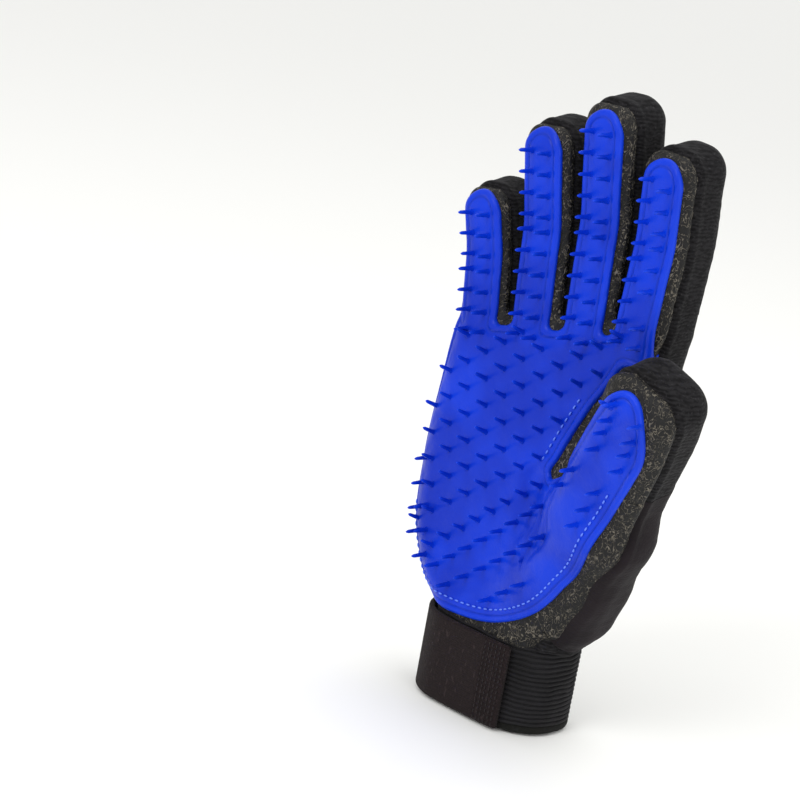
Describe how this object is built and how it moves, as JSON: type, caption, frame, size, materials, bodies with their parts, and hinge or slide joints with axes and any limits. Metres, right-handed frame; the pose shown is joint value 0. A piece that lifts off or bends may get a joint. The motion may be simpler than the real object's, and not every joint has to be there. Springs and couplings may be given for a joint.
{
  "type": "grooming glove",
  "caption": "Right-hand pet grooming glove: fabric sleeve fingers, a studded silicone pad over the palm, fingers and thumb, and a ribbed elastic wrist with a hook-and-loop strap.",
  "frame": {"origin": "centre of the cuff's mouth, where the hand goes in", "axes": "+Z from the wrist to the fingertips, -Y the way the palm faces, +X to the thumb side"},
  "size_m": [0.1219, 0.0659, 0.2203],
  "materials": {
    "silicone": "satin moulded silicone",
    "mesh": "open polyester mesh",
    "back_knit": "crinkled stretch knit",
    "gusset_cloth": "smooth stretch cloth",
    "elastic": "ribbed elastic",
    "binding": "woven hem tape",
    "strap_loop_cloth": "brushed loop cloth",
    "loop_tape": "napped loop tape",
    "hook_tape": "moulded hook tape"
  },
  "bodies": {
    "palm": {"back_panel": "back_knit", "cuff_hem": "binding", "loop_patch": "loop_tape", "palm_mesh_panel": "mesh", "palm_pad": "silicone", "strap_sewn_end": "strap_loop_cloth", "thumb_gusset": "gusset_cloth", "thumb_root_pad": "silicone", "wrist_elastic": "elastic"},
    "strap_tab": {"strap_tab": "strap_loop_cloth", "hook_patch": "hook_tape"},
    "index_base": {"index_base_back": "back_knit", "index_base_mesh": "mesh", "index_base_pad": "silicone"},
    "index_tip": {"index_tip_back": "back_knit", "index_tip_mesh": "mesh", "index_tip_pad": "silicone"},
    "middle_base": {"middle_base_back": "back_knit", "middle_base_mesh": "mesh", "middle_base_pad": "silicone"},
    "middle_tip": {"middle_tip_back": "back_knit", "middle_tip_mesh": "mesh", "middle_tip_pad": "silicone"},
    "ring_base": {"ring_base_back": "back_knit", "ring_base_mesh": "mesh", "ring_base_pad": "silicone"},
    "ring_tip": {"ring_tip_back": "back_knit", "ring_tip_mesh": "mesh", "ring_tip_pad": "silicone"},
    "little_base": {"little_base_back": "back_knit", "little_base_mesh": "mesh", "little_base_pad": "silicone"},
    "little_tip": {"little_tip_back": "back_knit", "little_tip_mesh": "mesh", "little_tip_pad": "silicone"},
    "thumb_base": {"thumb_base_back": "back_knit", "thumb_base_mesh": "mesh", "thumb_base_pad": "silicone"},
    "thumb_tip": {"thumb_tip_back": "back_knit", "thumb_tip_mesh": "mesh", "thumb_tip_pad": "silicone"}
  },
  "joints": [
    {"name": "index_knuckle", "type": "hinge", "parent": "palm", "child": "index_base", "pos_m": [0.03824, -0.01508, 0.14992], "axis": [0.9969, 0, -0.0785], "range_deg": [0, 60], "stiffness_Nm_per_rad": 0.1},
    {"name": "index_mid_knuckle", "type": "hinge", "parent": "index_base", "child": "index_tip", "pos_m": [0.04035, -0.01645, 0.17669], "axis": [0.9969, 0, -0.0785], "range_deg": [0, 70], "stiffness_Nm_per_rad": 0.1},
    {"name": "middle_knuckle", "type": "hinge", "parent": "palm", "child": "middle_base", "pos_m": [0.01731, -0.01508, 0.14572], "axis": [1, 0, 0.0087], "range_deg": [0, 60], "stiffness_Nm_per_rad": 0.1},
    {"name": "middle_mid_knuckle", "type": "hinge", "parent": "middle_base", "child": "middle_tip", "pos_m": [0.01702, -0.01676, 0.17857], "axis": [1, 0, 0.0087], "range_deg": [0, 70], "stiffness_Nm_per_rad": 0.1},
    {"name": "ring_knuckle", "type": "hinge", "parent": "palm", "child": "ring_base", "pos_m": [-0.00497, -0.01508, 0.14126], "axis": [0.999, 0, 0.0436], "range_deg": [0, 60], "stiffness_Nm_per_rad": 0.1},
    {"name": "ring_mid_knuckle", "type": "hinge", "parent": "ring_base", "child": "ring_tip", "pos_m": [-0.00627, -0.0166, 0.17109], "axis": [0.999, 0, 0.0436], "range_deg": [0, 70], "stiffness_Nm_per_rad": 0.1},
    {"name": "little_knuckle", "type": "hinge", "parent": "palm", "child": "little_base", "pos_m": [-0.02793, -0.01508, 0.13667], "axis": [0.9954, 0, 0.0958], "range_deg": [0, 60], "stiffness_Nm_per_rad": 0.1},
    {"name": "little_mid_knuckle", "type": "hinge", "parent": "little_base", "child": "little_tip", "pos_m": [-0.02983, -0.01608, 0.15645], "axis": [0.9954, 0, 0.0958], "range_deg": [0, 70], "stiffness_Nm_per_rad": 0.1},
    {"name": "thumb_knuckle", "type": "hinge", "parent": "palm", "child": "thumb_base", "pos_m": [0.05296, -0.03315, 0.10039], "axis": [0.9158, 0.064, -0.3966], "range_deg": [0, 20], "stiffness_Nm_per_rad": 0.1},
    {"name": "thumb_mid_knuckle", "type": "hinge", "parent": "thumb_base", "child": "thumb_tip", "pos_m": [0.06025, -0.03738, 0.11653], "axis": [0.9158, 0.064, -0.3966], "range_deg": [0, 35], "stiffness_Nm_per_rad": 0.1},
    {"name": "strap_tab_fold", "type": "hinge", "parent": "palm", "child": "strap_tab", "pos_m": [-0.022, -0.01371, 0.0158], "axis": [0, 0, -1], "range_deg": [0, 120]}
  ]
}
